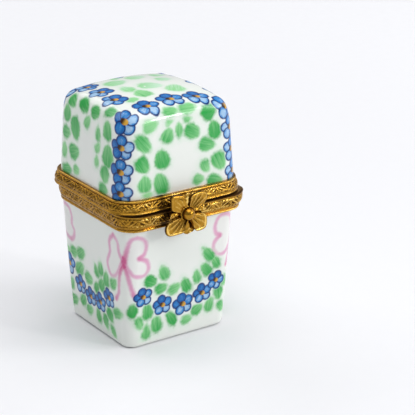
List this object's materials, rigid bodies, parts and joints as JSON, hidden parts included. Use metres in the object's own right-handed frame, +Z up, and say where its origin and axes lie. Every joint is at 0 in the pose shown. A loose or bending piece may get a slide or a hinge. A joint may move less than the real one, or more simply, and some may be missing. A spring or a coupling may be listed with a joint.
{
  "type": "trinket box",
  "caption": "Tall square porcelain box with a hinged domed lid, brass bezels and a flower clasp, made to hold a miniature perfume bottle.",
  "frame": {"origin": "centre of the foot, on the plane the box stands on", "axes": "+Z up; the clasp faces -Y; the hinge is at the back, +Y; +X is to the right when facing the clasp"},
  "size_m": [0.0355, 0.0406, 0.0582],
  "materials": {
    "porcelain": "glossy white glaze with painted blue flowers, green leaves and pink bows",
    "gilt_brass": "aged gilt brass, chased, darker in the recesses",
    "plaster": "matt off-white plaster"
  },
  "bodies": {
    "base": {"porcelain_base": "porcelain", "lower_plaster_bed": "plaster", "lower_bezel": "gilt_brass", "hinge_knuckle_lower_left": "gilt_brass", "hinge_knuckle_lower_middle": "gilt_brass", "hinge_knuckle_lower_right": "gilt_brass", "hinge_pin": "gilt_brass", "catch_stud": "gilt_brass"},
    "lid": {"porcelain_lid": "porcelain", "upper_plaster_bed": "plaster", "upper_bezel": "gilt_brass", "hinge_knuckle_upper_left": "gilt_brass", "hinge_knuckle_upper_right": "gilt_brass", "clasp_tongue": "gilt_brass", "clasp_sepals": "gilt_brass", "clasp_flower": "gilt_brass", "clasp_bead": "gilt_brass"}
  },
  "joints": [
    {"name": "lid_hinge", "type": "hinge", "parent": "base", "child": "lid", "pos_m": [0, 0.018, 0.03427], "axis": [-1, 0, 0], "range_deg": [0, 105]}
  ]
}
